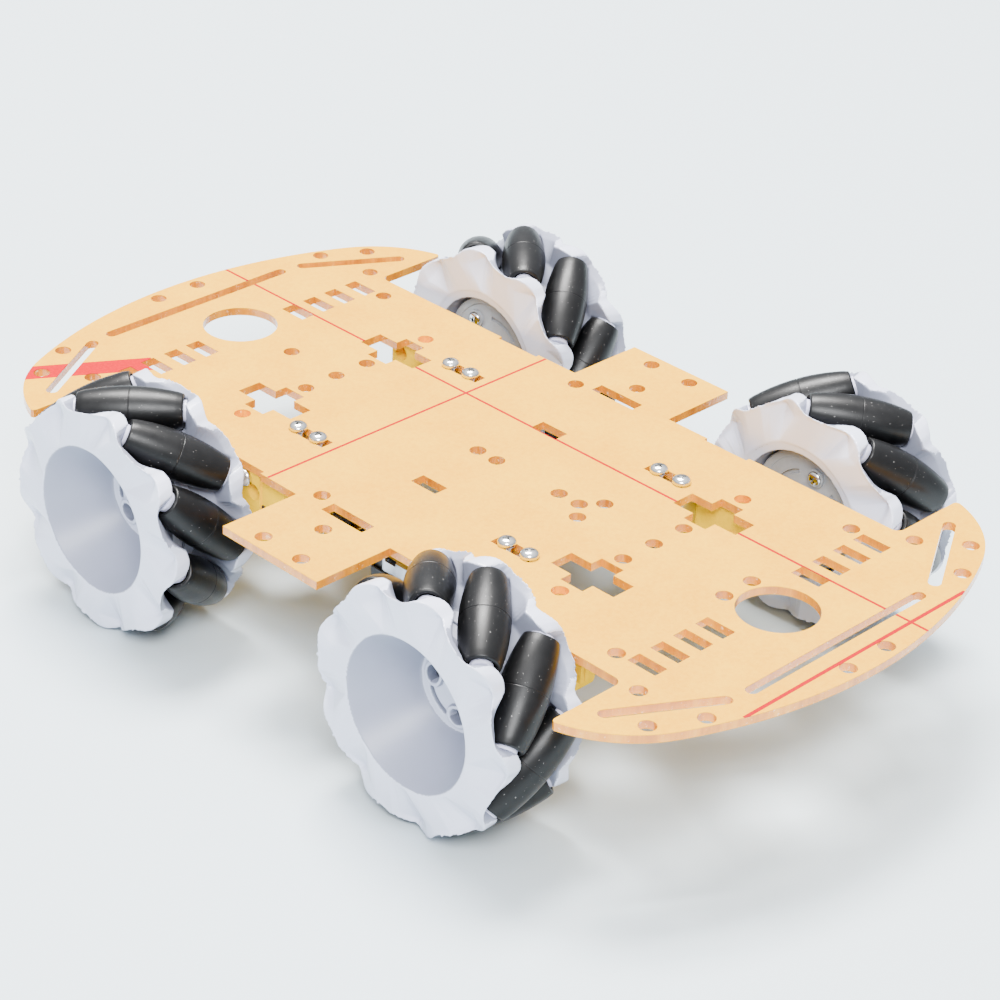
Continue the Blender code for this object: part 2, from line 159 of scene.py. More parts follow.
def link(mat, source, target):
    mat.node_tree.links.new(source, target)


def shader_of(mat):
    return mat.node_tree.nodes["Principled BSDF"]


def object_noise(mat, scale, detail=4.0, rough=0.55, stretch=None):
    """Noise fixed to the object, with stretch as a scale along each axis."""
    coords = node(mat, "ShaderNodeTexCoord")
    vector = coords.outputs["Object"]
    if stretch:
        mapping = node(mat, "ShaderNodeMapping")
        mapping.inputs["Scale"].default_value = stretch
        link(mat, vector, mapping.inputs["Vector"])
        vector = mapping.outputs["Vector"]
    tex = node(mat, "ShaderNodeTexNoise")
    tex.inputs["Scale"].default_value = scale
    tex.inputs["Detail"].default_value = detail
    tex.inputs["Roughness"].default_value = rough
    link(mat, vector, tex.inputs["Vector"])
    return tex.outputs["Fac"]


def ramp(mat, factor, stops):
    made = node(mat, "ShaderNodeValToRGB")
    elements = made.color_ramp.elements
    while len(elements) < len(stops):
        elements.new(0.5)
    for element, (place, colour) in zip(elements, stops):
        element.position = place
        element.color = colour
    link(mat, factor, made.inputs["Fac"])
    return made.outputs["Color"]


def mix_colour(mat, factor, a, b):
    """Mix of two colours. Each input is a value or a socket."""
    made = node(mat, "ShaderNodeMix", data_type="RGBA")
    for value, index in ((factor, 0), (a, 6), (b, 7)):
        if isinstance(value, bpy.types.NodeSocket):
            link(mat, value, made.inputs[index])
        else:
            made.inputs[index].default_value = value
    return made.outputs[2]


def bump(mat, height, strength, distance):
    made = node(mat, "ShaderNodeBump")
    made.inputs["Strength"].default_value = strength
    made.inputs["Distance"].default_value = distance
    link(mat, height, made.inputs["Height"])
    link(mat, made.outputs["Normal"], shader_of(mat).inputs["Normal"])


def grey(value):
    return (value, value, value, 1.0)


def make_paper():
    mat = new_material("tan_paper", flat(0.70, 0.335, 0.001), 0.75, ior=1.15)
    cloud = object_noise(mat, 55.0, 4.0, 0.55)
    broad = ramp(mat, cloud, [(0.32, flat(0.67, 0.30, 0.001)), (0.68, flat(0.74, 0.37, 0.006))])
    grain = object_noise(mat, 900.0, 4.0, 0.7)
    fibre = ramp(mat, grain, [(0.35, flat(0.61, 0.255, 0.001)), (0.62, flat(0.77, 0.42, 0.014))])
    colour = mix_colour(mat, 0.32, broad, fibre)
    link(mat, colour, shader_of(mat).inputs["Base Color"])
    bump(mat, grain, 0.08, 0.0002)
    return mat


def make_print(name, colour):
    mat = new_material(name, colour, 0.8, ior=1.1)
    grain = object_noise(mat, 1200.0, 3.0, 0.7)
    pale = tuple(min(1.0, c * 1.3) for c in colour[:3]) + (1.0,)
    tone = ramp(mat, grain, [(0.42, colour), (0.72, pale)])
    link(mat, tone, shader_of(mat).inputs["Base Color"])
    return mat


def make_edge():
    mat = new_material("laser_cut_edge", flat(0.36, 0.11, 0.005), 0.22, ior=1.49, coat=0.6,
                       coat_roughness=0.08)
    streak = object_noise(mat, 260.0, 5.0, 0.65, (1.0, 1.0, 0.12))
    amber = ramp(mat, streak, [(0.30, flat(0.50, 0.14, 0.001)), (0.55, flat(0.78, 0.26, 0.001)),
                               (0.78, flat(0.92, 0.42, 0.03))])
    # Pale spots on the frosted cut edge, with painted glints of light
    spots = object_noise(mat, 620.0, 6.0, 0.75)
    frost_and_glint = ramp(mat, spots, [(0.60, grey(0.0)), (0.66, grey(1.0))])
    tone = mix_colour(mat, frost_and_glint, amber, flat(0.92, 0.62, 0.32))
    link(mat, tone, shader_of(mat).inputs["Base Color"])
    bump(mat, streak, 0.35, 0.0004)
    return mat


def make_hub(name, r, g, b, roughness):
    mat = new_material(name, flat(r, g, b), roughness, ior=1.5)
    cloud = object_noise(mat, 60.0, 3.0, 0.5)
    low = flat(0.97 * r, 0.97 * g, 0.97 * b)
    high = flat(1.03 * r, 1.03 * g, 1.03 * b)
    tone = ramp(mat, cloud, [(0.30, low), (0.75, high)])
    link(mat, tone, shader_of(mat).inputs["Base Color"])
    fine = object_noise(mat, 420.0, 3.0, 0.6)
    bump(mat, fine, 0.03, 0.0003)
    return mat


def make_rubber():
    mat = new_material("roller_rubber", flat(0.003, 0.003, 0.003), 0.38, ior=1.36)
    cloud = object_noise(mat, 160.0, 5.0, 0.65)
    tone = ramp(mat, cloud, [(0.30, flat(0.001, 0.001, 0.0012)),
                             (0.75, flat(0.0035, 0.0035, 0.004))])
    dust = object_noise(mat, 1500.0, 2.0, 0.5)
    specks = ramp(mat, dust, [(0.715, grey(0.0)), (0.745, grey(1.0))])
    colour = mix_colour(mat, specks, tone, flat(0.16, 0.155, 0.15))
    link(mat, colour, shader_of(mat).inputs["Base Color"])
    wear = ramp(mat, cloud, [(0.25, grey(0.32)), (0.80, grey(0.46))])
    link(mat, wear, shader_of(mat).inputs["Roughness"])
    fine = object_noise(mat, 2600.0, 3.0, 0.6)
    bump(mat, fine, 0.12, 0.0002)
    return mat


def make_plain(name, colour, roughness, metallic=0.0, grain=700.0, spread=0.10, depth=0.05,
               ior=1.5):
    """Plain finish with a fine grain in its colour and surface."""
    mat = new_material(name, colour, roughness, metallic, ior=ior)
    tex = object_noise(mat, grain, 4.0, 0.6)
    dark = tuple(c * (1.0 - spread) for c in colour[:3]) + (1.0,)
    light = tuple(min(1.0, c * (1.0 + spread)) for c in colour[:3]) + (1.0,)
    link(mat, ramp(mat, tex, [(0.3, dark), (0.7, light)]), shader_of(mat).inputs["Base Color"])
    bump(mat, tex, depth, 0.0002)
    return mat


PAPER_MAT = make_paper()
RED = make_print("red_print", flat(0.32, 0.004, 0.009))
BAND = make_print("red_band", flat(0.38, 0.003, 0.009))
EDGE = make_edge()
HUB = make_hub("hub_plastic", 0.58, 0.605, 0.73, 0.22)
# Darker copy of the hub plastic: painted shade for the cup wall and the body between the rollers
HUB_PAINTED_SHADE = make_hub("hub_wall_plastic", 0.26, 0.275, 0.355, 0.42)
RUBBER = make_rubber()
COLLAR = make_plain("collar_plastic", flat(0.60, 0.60, 0.76), 0.30, spread=0.03)
DISC = make_plain("coupling_plastic", srgb(150, 152, 156), 0.34, spread=0.06)
YELLOW = make_plain("gearbox_plastic", flat(0.90, 0.545, 0.0), 0.6, spread=0.05, ior=1.04)
NICKEL = make_plain("nickel_screw", srgb(214, 214, 212), 0.18, 1.0, spread=0.05)
STEEL = make_plain("motor_can", srgb(178, 180, 184), 0.26, 1.0, grain=300.0)
ALLOY = make_plain("bracket_alloy", srgb(196, 198, 202), 0.32, 1.0, grain=500.0)
BLACK = make_plain("black_plastic", flat(0.008, 0.008, 0.009), 0.42)
SHAFT = make_plain("shaft_plastic", srgb(226, 226, 222), 0.38)
BRASS = make_plain("brass_tab", srgb(206, 170, 96), 0.28, 1.0)


# ------------------------------------------------------- mesh utilities

def make_object(name, bm, mats, smooth=32.0):
    """Bmesh in millimetres to an object in metres, smooth up to an angle in degrees."""
    oriented(bm)
    bmesh.ops.scale(bm, verts=bm.verts, vec=(MM, MM, MM))
    mesh = bpy.data.meshes.new(name)
    bm.to_mesh(mesh)
    bm.free()
    for mat in mats if isinstance(mats, (list, tuple)) else [mats]:
        mesh.materials.append(mat)
    mesh.shade_smooth()
    if smooth < 180.0:
        mesh.set_sharp_from_angle(angle=math.radians(smooth))
    obj = bpy.data.objects.new(name, mesh)
    bpy.context.scene.collection.objects.link(obj)
    return obj


def copy_of(obj, name):
    made = bpy.data.objects.new(name, obj.data)
    bpy.context.scene.collection.objects.link(made)
    return made


def set_on(obj, body, place=None):
    """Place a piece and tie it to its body."""
    if place is not None:
        obj.matrix_world = place
    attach(obj, body)
    return obj


def from_mesh(mesh):
    bm = bmesh.new()
    bm.from_mesh(mesh)
    return bm


def evaluated(obj):
    graph = bpy.context.evaluated_depsgraph_get()
    return bpy.data.meshes.new_from_object(obj.evaluated_get(graph))


def working(bm):
    """Scratch object that takes over a bmesh."""
    oriented(bm)
    mesh = bpy.data.meshes.new("work")
    bm.to_mesh(mesh)
    bm.free()
    obj = bpy.data.objects.new("work", mesh)
    bpy.context.scene.collection.objects.link(obj)
    return obj


def discard(obj):
    mesh = obj.data
    bpy.data.objects.remove(obj, do_unlink=True)
    bpy.data.meshes.remove(mesh)


def boolean(base, tool, operation):
    a = working(base)
    b = working(tool)
    mod = a.modifiers.new("cut", "BOOLEAN")
    mod.operation = operation
    mod.solver = "EXACT"
    mod.use_self = operation == "UNION"
    mod.object = b
    mesh = evaluated(a)
    result = from_mesh(mesh)
    bpy.data.meshes.remove(mesh)
    discard(a)
    discard(b)
    return result


def moulded(bm, voxel, rounds, keep):
    """Soft edged copy of a solid, as a moulding is: remesh, smooth, then thin out."""
    obj = working(bm)
    remesh = obj.modifiers.new("remesh", "REMESH")
    remesh.mode = "VOXEL"
    remesh.voxel_size = voxel
    remesh.adaptivity = 0.0
    soften = obj.modifiers.new("soften", "SMOOTH")
    soften.factor = 0.5
    soften.iterations = rounds
    thin = obj.modifiers.new("thin", "DECIMATE")
    thin.ratio = keep
    mesh = evaluated(obj)
    result = from_mesh(mesh)
    bpy.data.meshes.remove(mesh)
    discard(obj)
    return result


def merge(target, part):
    mesh = bpy.data.meshes.new("part")
    part.to_mesh(mesh)
    part.free()
    target.from_mesh(mesh)
    bpy.data.meshes.remove(mesh)


def spun(bm, angle, axis):
    """Rotate a whole mesh about the origin, by an angle in radians."""
    bmesh.ops.rotate(bm, verts=bm.verts, cent=(0, 0, 0), matrix=Matrix.Rotation(angle, 3, axis))


def moved(bm, offset):
    bmesh.ops.translate(bm, verts=bm.verts, vec=offset)


def oriented(bm):
    """Make all normals point out of a closed mesh."""
    bmesh.ops.recalc_face_normals(bm, faces=bm.faces)
    if bm.calc_volume(signed=True) < 0:
        bmesh.ops.reverse_faces(bm, faces=bm.faces)


def bevelled(bm, width, segments=3, angle=30.0):
    """Round the edges that are sharper than the angle."""
    edges = []
    for edge in bm.edges:
        if len(edge.link_faces) == 2 and edge.calc_face_angle(0.0) > math.radians(angle):
            edges.append(edge)
    bmesh.ops.bevel(bm, geom=edges, offset=width, segments=segments, profile=0.5,
                    affect="EDGES", clamp_overlap=True)
    return bm


def box(low, high):
    bm = bmesh.new()
    centre = [(a + b) / 2 for a, b in zip(low, high)]
    size = [abs(b - a) for a, b in zip(low, high)]
    place = Matrix.Translation(centre) @ Matrix.Diagonal((*size, 1.0))
    bmesh.ops.create_cube(bm, size=1.0, matrix=place)
    return bm


def vert_rings(bm, profile, sides):
    """One ring of vertices about z for each (radius, z) point."""
    rings = []
    for radius, z in profile:
        ring = []
        for i in range(sides):
            a = 2 * math.pi * i / sides
            ring.append(bm.verts.new((radius * math.cos(a), radius * math.sin(a), z)))
        rings.append(ring)
    return rings


def join_rings(bm, first, second):
    for i in range(len(first)):
        j = (i + 1) % len(first)
        bm.faces.new((first[i], first[j], second[j], second[i]))


def turned(profile, sides):
    """Solid of revolution about z from (radius, z) points, capped on the axis."""
    bm = bmesh.new()
    rings = vert_rings(bm, profile, sides)
    for first, second in zip(rings, rings[1:]):
        join_rings(bm, first, second)
    bm.faces.new(rings[0])
    bm.faces.new(rings[-1])
    return bm


def ring_solid(profile, sides):
    """Closed ring of revolution about z from a loop of (radius, z) points."""
    bm = bmesh.new()
    rings = vert_rings(bm, profile, sides)
    for k, first in enumerate(rings):
        join_rings(bm, first, rings[(k + 1) % len(rings)])
    return bm


def prism(points, z0, z1):
    """Solid between two heights over a loop of (x, y) points."""
    bm = bmesh.new()
    low = [bm.verts.new((x, y, z0)) for x, y in points]
    high = [bm.verts.new((x, y, z1)) for x, y in points]
    bm.faces.new(low)
    bm.faces.new(high)
    join_rings(bm, low, high)
    return bm


def arc(cx, cy, radius, start, end, steps):
    out = []
    for i in range(steps + 1):
        a = math.radians(start + (end - start) * i / steps)
        out.append((cx + radius * math.cos(a), cy + radius * math.sin(a)))
    return out


# ----------------------------------------------------------------- deck

def deck_outline():
    """Corner points of the deck, mirrored from its +x +y quarter."""
    ear = math.radians(EAR_START)
    reach = DECK_RADIUS - EAR_R
    quarter = arc(0, 0, DECK_RADIUS, 0, EAR_START, 28)
    quarter += arc(reach * math.cos(ear), reach * math.sin(ear), EAR_R, EAR_START, 73, 16)[1:]
    quarter += [(CUT_OUTER_X + 0.3, 77.2), (CUT_OUTER_X, 76.4)]
    quarter += arc(CUT_OUTER_X - CUT_CORNER, CUT_INNER_Y + CUT_CORNER, CUT_CORNER, 0, -90, 8)
    quarter += [
        (NOTCH_X[1], CUT_INNER_Y), (NOTCH_X[1], NOTCH_Y),
        (NOTCH_X[0], NOTCH_Y), (NOTCH_X[0], CUT_INNER_Y),
        (TAB_HALF, CUT_INNER_Y), (TAB_HALF, DECK_HALF_WIDTH),
    ]
    top = quarter + [(-x, y) for x, y in reversed(quarter)]
    return top + [(-x, -y) for x, y in top[1:-1]]


def rectangle(x0, x1, y0, y1):
    return [(x0, y0), (x1, y0), (x1, y1), (x0, y1)]


def cross(cx, cy):
    """Cross-shaped opening: a wide bar and a tall bar."""
    wide, thin, tall, low = 10.95, 3.85, 7.65, 3.8
    return [
        (cx - wide, cy - low), (cx - thin, cy - low), (cx - thin, cy - tall),
        (cx + thin, cy - tall), (cx + thin, cy - low), (cx + wide, cy - low),
        (cx + wide, cy + low), (cx + thin, cy + low), (cx + thin, cy + tall),
        (cx - thin, cy + tall), (cx - thin, cy + low), (cx - wide, cy + low),
    ]


def mirrored_rectangle(sx, sy, x0, x1, y0, y1):
    return rectangle(*sorted((sx * x0, sx * x1)), *sorted((sy * y0, sy * y1)))


def slot_loop(p, q, width):
    """Round-ended slot from p to q, ends included."""
    angle = math.degrees(math.atan2(q[1] - p[1], q[0] - p[0]))
    r = width / 2
    inset = Vector((q[0] - p[0], q[1] - p[1])).normalized() * r
    a = (p[0] + inset.x, p[1] + inset.y)
    b = (q[0] - inset.x, q[1] - inset.y)
    return arc(*b, r, angle - 90, angle + 90, 10) + arc(*a, r, angle + 90, angle + 270, 10)


def deck_hole_centres():
    four = ((105.1, 53.0), (116.5, 62.2), (123.6, 49.3), (132.2, 7.4),
            (61.3, 11.6), (61.4, 34.9), (7.3, 73.7), (90.4, 45.0))
    out = [(sx * x, sy * y) for x, y in four for sx in (-1, 1) for sy in (-1, 1)]
    out += [(sx * 61.4, 0.0) for sx in (-1, 1)]
    out += [(0.0, sy * 59.7) for sy in (-1, 1)]
    out += [(-13.3, sy * 48.3) for sy in (-1, 1)]
    out += [(90.3, sy * 5.3) for sy in (-1, 1)]
    out += [(38.9, sy * 5.2) for sy in (-1, 1)]
    out += [(-80.7, 0.0), (-3.8, 0.0), (3.5, 0.0), (27.1, 0.0), (34.5, 0.0)]
    return out


def deck_openings():
    loops = []
    for sx in (-1, 1):
        loops.append(arc(sx * HUB_HOLE_X, 0, HUB_HOLE_R, 0, 355, 71))
        loops.append(slot_loop((sx * 122.9, -34.0), (sx * 122.9, 34.0), SLOT_WIDTH))
        for sy in (-1, 1):
            for y0, y1 in ((40.9, 45.3), (32.6, 37.1), (24.2, 28.8), (16.0, 20.7)):
                loops.append(mirrored_rectangle(sx, sy, 94.2, 103.4, y0, y1))
            loops.append(cross(sx * 61.4, sy * 23.2))
            loops.append(mirrored_rectangle(sx, sy, 32.7, 46.5, 27.0, 31.2))
            ends = (sx * 105.5, sy * 67.7), (sx * 122.5, sy * 38.7)
            loops.append(slot_loop(*ends, SLOT_WIDTH))
    loops.append(rectangle(-8.0, 7.7, 49.3, 53.5))
    loops.append(rectangle(-8.0, 7.7, -53.3, -48.8))
    for sy in (-1, 1):
        loops.append(rectangle(-3.6, 5.7, *sorted((sy * 20.6, sy * 25.2))))
    for x, y in deck_hole_centres():
        loops.append(arc(x, y, HOLE_R, 0, 350, 35))
    return loops


def sheet(z0, z1):
    """Deck outline with its openings, as a solid between two heights."""
    bm = bmesh.new()
    edges = []
    for loop in [deck_outline()] + deck_openings():
        verts = [bm.verts.new((x, y, z0)) for x, y in loop]
        for i, vert in enumerate(verts):
            edges.append(bm.edges.new((vert, verts[(i + 1) % len(verts)])))
    bmesh.ops.triangle_fill(bm, use_beauty=True, use_dissolve=False, edges=edges)
    grown = bmesh.ops.extrude_face_region(bm, geom=bm.faces[:])
    verts = [g for g in grown["geom"] if isinstance(g, bmesh.types.BMVert)]
    bmesh.ops.translate(bm, verts=verts, vec=(0, 0, z1 - z0))
    return bm


def band_faces(bm, a, b, width, index, ends=True):
    """Give the faces of a straight band a material index, from a to b or right across."""
    a = Vector((*a, 0.0))
    b = Vector((*b, 0.0))
    along = (b - a).normalized()
    side = Vector((-along.y, along.x, 0.0))
    cuts = [(a - side * width / 2, side), (a + side * width / 2, side)]
    if ends:
        cuts += [(a, along), (b, along)]
    for point, normal in cuts:
        geom = bm.verts[:] + bm.edges[:] + bm.faces[:]
        bmesh.ops.bisect_plane(bm, geom=geom, dist=1e-5, plane_co=point, plane_no=normal)
    length = (b - a).length
    for face in bm.faces:
        centre = face.calc_center_median()
        centre.z = 0.0
        off = centre - a
        if abs(off.dot(side)) > width / 2:
            continue
        if ends and not 0.0 < off.dot(along) < length:
            continue
        face.material_index = index


def build_deck():
    core = make_object("deck_core", sheet(DECK_BOTTOM + PAPER, DECK_TOP - PAPER), EDGE)
    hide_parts("chassis_plate")
    set_on(core, "chassis")
    top = sheet(DECK_TOP - PAPER, DECK_TOP)
    bmesh.ops.recalc_face_normals(top, faces=top.faces)
    # Material 1 is the guide lines, material 2 the wide band
    band_faces(top, (-140.0, 20.65), (140.0, 20.65), GUIDE_LINE, 1, ends=False)
    band_faces(top, (-29.8, -52.9), (-29.8, 52.9), GUIDE_LINE, 1)
    band_faces(top, (129.4, -42.6), (129.4, 42.6), 1.15, 1)
    band_faces(top, (-122.0, -70.6), (-100.7, -35.0), 7.6, 2)
    paper = make_object("deck_paper_top", top, [PAPER_MAT, RED, BAND])
    set_on(paper, "chassis")
    under = make_object("deck_paper_under", sheet(DECK_BOTTOM, DECK_BOTTOM + PAPER), PAPER_MAT)
    set_on(under, "chassis")


# --------------------------------------------------------------- screws

def pan_head(radius, height):
    """Domed head standing on z = 0 with a cross recess."""
    profile = [(radius * 0.94, 0.0), (radius, 0.12 * height), (radius, 0.30 * height)]
    for i in range(1, 9):
        a = math.pi / 2 * i / 9
        profile.append((radius * math.cos(a) ** 0.8, 0.30 * height + 0.70 * height * math.sin(a)))
    head = turned(profile, 40)
    tool = bmesh.new()
    half = radius * 0.56
    wide = radius * 0.12
    corners = ((-1, -1), (1, -1), (1, 1), (-1, 1))
    for turn in (0.0, math.pi / 2):
        arm = bmesh.new()
        a = [arm.verts.new((x * half, y * wide, height * 1.2)) for x, y in corners]
        b = [arm.verts.new((x * half * 0.45, y * wide * 0.6, height * 0.25)) for x, y in corners]
        arm.faces.new(a)
        arm.faces.new(b)
        join_rings(arm, a, b)
        spun(arm, turn, "Z")
        merge(tool, arm)
    tool = boolean(tool, box((-wide, -wide, height * 0.3), (wide, wide, height * 1.1)), "UNION")
    return boolean(head, tool, "DIFFERENCE")


def screw(name, radius, height, shank, length):
    """Pan head with a threaded shank below z = 0."""
    head = pan_head(radius, height)
    profile = [(shank * 0.7, -length), (shank, -length + 0.5)]
    z = -length + 0.75
    while z < -0.4:
        profile += [(shank * 0.86, z), (shank, z + 0.25)]
        z += 0.5
    profile += [(shank, 0.05)]
    rod = turned(profile, 20)
    return make_object(name, boolean(head, rod, "UNION"), NICKEL, 40.0)


# ---------------------------------------------------------------- wheels

def turn_z(angle, radius, z):
    a = math.radians(angle)
    return Vector((radius * math.cos(a), radius * math.sin(a), z))


def chord(psi, start, end):
    """Radius and height where the ray at psi meets the straight line between two points."""
    p = turn_z(*start)
    q = turn_z(*end)
    d = turn_z(psi, 1.0, 0.0)
    cross_p = p.x * d.y - p.y * d.x
    cross_q = (q.x - p.x) * d.y - (q.y - p.y) * d.x
    t = -cross_p / cross_q
    hit = p + (q - p) * t
    return math.hypot(hit.x, hit.y), hit.z


def table_value(table, psi):
    """Smooth periodic reading of (psi, radius, height) rows that span one tooth."""
    start = table[0][0]
    psi = start + (psi - start) % PITCH
    for a, b in zip(table, table[1:]):
        if a[0] <= psi <= b[0]:
            t = (psi - a[0]) / (b[0] - a[0])
            return a[1] + (b[1] - a[1]) * t, a[2] + (b[2] - a[2]) * t
    return table[-1][1], table[-1][2]


RIM_CORNER = (-15.0, 21.4, 15.0)
# Outer border of the facets, from the crease of one tooth to the crease of the next
CREASE = (-1.0, 29.0, 14.4)
PEAK = (-11.0, 31.3, 10.9)
BORDER = (CREASE, (5.0, 30.4, 15.0), (17.0, 30.9, 14.9), (29.0, 31.3, 10.9), (39.0, 29.0, 14.4))
# Upper edge of the rounded lip
OUTLINE = (
    (-13.0, 32.2, 12.6), (-11.0, 32.5, 12.4), (-9.0, 33.0, 12.5), (-6.0, 33.5, 13.0),
    (-3.0, 33.7, 13.7), (0.0, 33.5, 14.3), (3.0, 32.7, 14.9), (6.0, 32.0, 15.3),
    (10.0, 31.7, 15.5), (14.0, 31.7, 15.3), (18.0, 31.9, 14.9), (22.0, 32.1, 14.2),
    (27.0, 32.2, 12.6),
)
# Lower edge of the lip
LOWER = (
    (-16.0, 32.2, 10.4), (-13.0, 32.3, 8.2), (-9.0, 33.2, 8.0), (-5.0, 33.4, 8.4),
    (-1.0, 33.2, 9.2), (0.6, 32.6, 10.4), (2.2, 31.2, 12.4), (5.0, 30.0, 13.2),
    (12.0, 30.0, 13.1), (18.0, 30.6, 12.8), (22.0, 31.6, 11.6), (24.0, 32.2, 10.4),
)


def lug_front_height(psi, radius):
    """Height of the slanted plane at a lug's front end, at an angle and radius."""
    return radius * math.sin(math.radians(psi - PHI_END)) + LUG_FRONT / SIN45


def facet_edge(psi):
    """Outer border of the flat facets."""
    psi = CREASE[0] + (psi - CREASE[0]) % PITCH
    for start, end in zip(BORDER, BORDER[1:]):
        if start[0] <= psi <= end[0]:
            return chord(psi, start, end)
    return CREASE[1], CREASE[2]


def under_edge(psi):
    """Lower border of the lip, never below the front plane of the lug."""
    radius, height = table_value(LOWER, psi)
    turn = (psi + PITCH / 2) % PITCH - PITCH / 2
    if -16.0 < turn < 4.0:
        height = max(height, min(lug_front_height(turn, radius), height + 4.0))
    return radius, height


def zip_rings(bm, first, second):
    """Triangles between two closed rings of (angle, vertex), whatever their angles."""
    i, j = 0, 0
    n, m = len(first), len(second)
    while i < n or j < m:
        next_a = first[(i + 1) % n][0] + 360.0 * ((i + 1) // n)
        next_b = second[(j + 1) % m][0] + 360.0 * ((j + 1) // m)
        corner_a = first[i % n][1]
        corner_b = second[j % m][1]
        if j >= m or (i < n and next_a <= next_b):
            bm.faces.new((corner_a, first[(i + 1) % n][1], corner_b))
            i += 1
        else:
            bm.faces.new((corner_a, second[(j + 1) % m][1], corner_b))
            j += 1


def crown(hand, first_rings, last_rings):
    """Solid of one hub half, before its pockets are cut."""
    steps = [RIM_CORNER[0] + PITCH * i / STEPS for i in range(STEPS * ROLLER_COUNT)]

    def ring(points):
        return [(a, bm.verts.new(turn_z(hand * a, radius, height))) for a, radius, height in points]

    bm = bmesh.new()
    inside = [ring([(a, radius, height) for a in steps]) for radius, height in first_rings]
    inside.append(ring([(a, RIM_CORNER[1] * 0.975, RIM_CORNER[2] - 0.25) for a in steps]))
    mouth = []
    for a in steps:
        sag = 0.35 * math.sin(math.pi * ((a - RIM_CORNER[0]) % PITCH) / PITCH)
        mouth.append((a, RIM_CORNER[1] - sag, RIM_CORNER[2]))
    mouth = ring(mouth)
    inside.append(mouth)
    for first, second in zip(inside, inside[1:]):
        zip_rings(bm, first, second)
    # Each corner of the mouth fans out to its own wedge facet
    wide = (PEAK[0] + PITCH - CREASE[0]) / STEPS
    fanned = []
    for i, (a, vert) in enumerate(mouth):
        tooth, step = divmod(i, STEPS)
        turn = PEAK[0] if step == 0 else CREASE[0] + wide * step
        fanned.append((turn + PITCH * tooth, vert))
    first_step = 2
    shifted = steps[first_step:] + [a + 360.0 for a in steps[:first_step]]
    outside = [fanned, ring([(a, *facet_edge(a)) for a in shifted])]
    outside.append(ring([(a, *table_value(OUTLINE, a)) for a in shifted]))
    outside.append(ring([(a, *under_edge(a)) for a in shifted]))
    for radius, height in [(25.0, 8.8), (21.0, 4.5), (20.9, 0.15)] + last_rings:
        outside.append(ring([(a, radius, height) for a in shifted]))
    for first, second in zip(outside, outside[1:]):
        zip_rings(bm, first, second)
    bm.faces.new([v for a, v in inside[0]])
    bm.faces.new([v for a, v in outside[-1]])
    return bm


def frame_matrix(x_axis, y_axis, z_axis, origin):
    place = Matrix((x_axis, y_axis, z_axis)).transposed().to_4x4()
    place.translation = origin
    return place


def roller_place(hand, index):
    """Wheel frame matrix of a roller: z runs from its centre out to this half's lug."""
    angle = hand * (PHI_END + PITCH * index)
    a = math.radians(angle)
    radial = Vector((math.cos(a), math.sin(a), 0.0))
    tangent = Vector((-math.sin(a), math.cos(a), 0.0))
    axis = (tangent * -hand + Vector((0, 0, 1))) * SIN45
    across = axis.cross(radial)
    return frame_matrix(radial, across, axis, [v * ROLLER_RC for v in radial])


def barrel_radius(s):
    """Roller radius at s along its axle, so that the wheel rolls round."""
    return WHEEL_R - math.sqrt(ROLLER_RC ** 2 + s * s / 2)


def cut_pockets(bm, hand):
    """Clearance in a hub half for its ends of the rollers."""
    tool = bmesh.new()
    for k in range(ROLLER_COUNT):
        profile = [(barrel_radius(s) + 0.5, s) for s in (-2.0, 2.0, 6.0, 10.0, 13.0, LUG_FRONT)]
        part = turned(profile, 40)
        bmesh.ops.transform(part, matrix=roller_place(hand, k), verts=part.verts)
        merge(tool, part)
    return boolean(bm, tool, "DIFFERENCE")


def arc_slot(radius, width, start, end, z0, z1):
    outer = arc(0, 0, radius + width / 2, start, end, 14)
    inner = arc(0, 0, radius - width / 2, end, start, 14)
    return prism(outer + inner, z0, z1)


def web_details(bm, hand, floor, back):
    """Raised eyelets, their keyholes and the arc grooves between them."""
    rims = bmesh.new()
    holes = bmesh.new()
    low = floor - 0.6
    high = floor + 0.8
    for k in range(EYELETS):
        middle = 160.0 + EYELET_TURN * k
        eyelet = ring_solid([(2.0, low), (3.1, low), (3.1, high), (2.0, high)], 32)
        hole = turned([(2.1, back - 1.0), (2.1, floor + 2.0)], 32)
        for part, stretch, target in ((eyelet, 1.2, rims), (hole, 1.25, holes)):
            bmesh.ops.scale(part, verts=part.verts, vec=(stretch, 1.0, 1.0))
            spun(part, math.radians(hand * middle + 90.0), "Z")
            moved(part, turn_z(hand * middle, WEB_EYELET_R, 0.0))
            merge(target, part)
        ends = sorted((hand * (middle + 32.0), hand * (middle + 86.0)))
        merge(holes, arc_slot(8.4, 1.3, ends[0], ends[1], back - 1.0, floor + 2.0))
    bm = boolean(bm, rims, "UNION")
    return boolean(bm, holes, "DIFFERENCE")


def hub_outer_mesh(hand):
    bm = crown(hand, [(11.2, -1.7), (11.7, -1.4)], [(13.8, 0.15), (13.6, -4.2)])
    bm = cut_pockets(bm, hand)
    bm = web_details(bm, hand, -1.7, -4.2)
    return moulded(bm, VOXEL, 2, 0.4)


def hub_inner_mesh(hand):
    bm = crown(hand, [(14.6, 7.2), (17.9, 7.3), (18.6, 14.4)], [(14.3, 0.15), (14.2, 7.0)])
    bm = cut_pockets(bm, hand)
    opening = turned([(13.9, 5.0), (13.9, 9.0)], 64)
    bm = boolean(bm, opening, "DIFFERENCE")
    return moulded(bm, VOXEL, 2, 0.4)


def collar_mesh(hand):
    """The nine end collars of one hub half."""
    bm = bmesh.new()
    for k in range(ROLLER_COUNT):
        profile = [(1.0, 13.0), (2.5, 13.0), (2.9, 13.3), (3.0, 13.7), (3.0, 15.0), (1.0, 15.0)]
        part = ring_solid(profile, 32)
        bmesh.ops.transform(part, matrix=roller_place(hand, k), verts=part.verts)
        merge(bm, part)
    return bm


